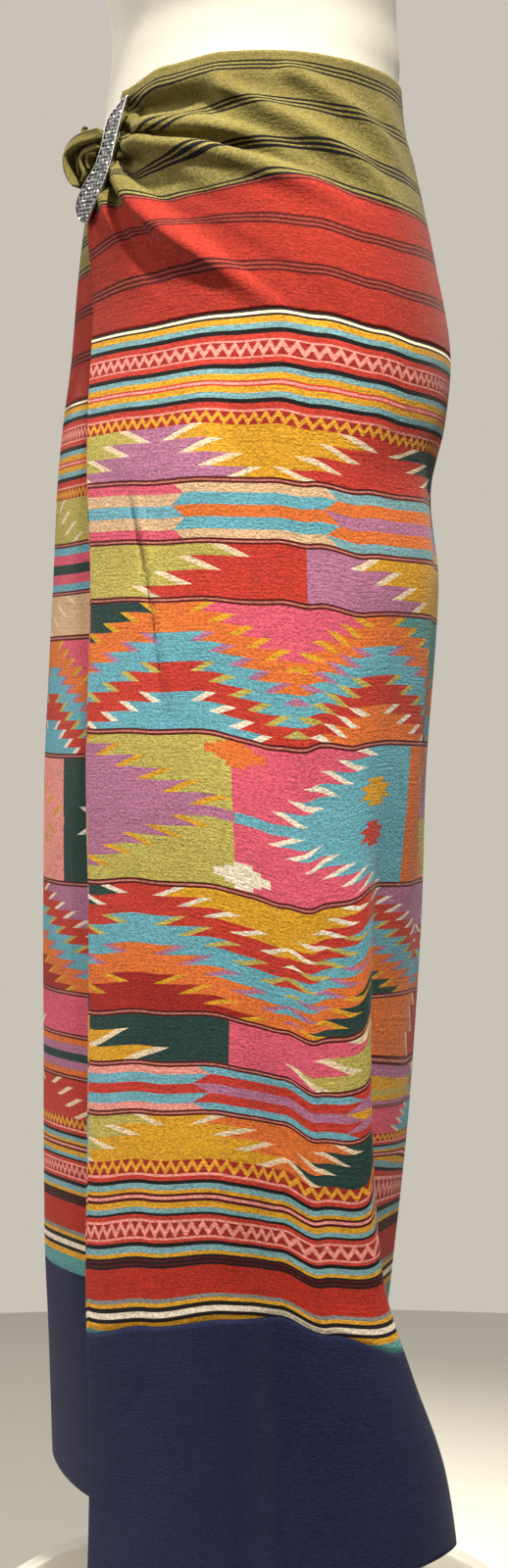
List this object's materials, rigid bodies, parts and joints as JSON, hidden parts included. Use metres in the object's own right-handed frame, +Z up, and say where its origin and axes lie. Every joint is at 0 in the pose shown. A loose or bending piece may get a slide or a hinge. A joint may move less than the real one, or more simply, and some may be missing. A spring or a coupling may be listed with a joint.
{
  "type": "sarong on a dress form",
  "caption": "Long handwoven tube sarong with banded, serrated patterns, folded at the front and held by a leaf-shaped clasp, on a limbless dress form with an arched stand.",
  "frame": {"origin": "on the floor under the middle of the stand", "axes": "+Z up, the form faces -Y, and its left side is +X"},
  "size_m": [0.3934, 0.3934, 1.54],
  "materials": {
    "waist_weave": "matte handwoven cotton, olive and red with narrow dark stripes",
    "body_weave": "matte handwoven cotton tapestry in many colours",
    "foot_weave": "matte navy cotton",
    "clasp_metal": "silver-coloured metal set with small clear stones",
    "form_jersey": "off-white fine jersey stretched over a smooth form",
    "stand_paint": "white satin paint"
  },
  "bodies": {
    "root": {"waist_cloth": "waist_weave", "body_cloth": "body_weave", "foot_cloth": "foot_weave", "knot_outer_loop": "waist_weave", "knot_inner_loop": "waist_weave", "clasp_plate": "clasp_metal", "clasp_rim": "clasp_metal", "dress_form": "form_jersey", "form_collar": "stand_paint", "pole": "stand_paint", "stand_hub": "stand_paint", "stand_leg_1": "stand_paint", "stand_leg_2": "stand_paint", "stand_leg_3": "stand_paint", "stand_leg_4": "stand_paint"}
  },
  "joints": []
}
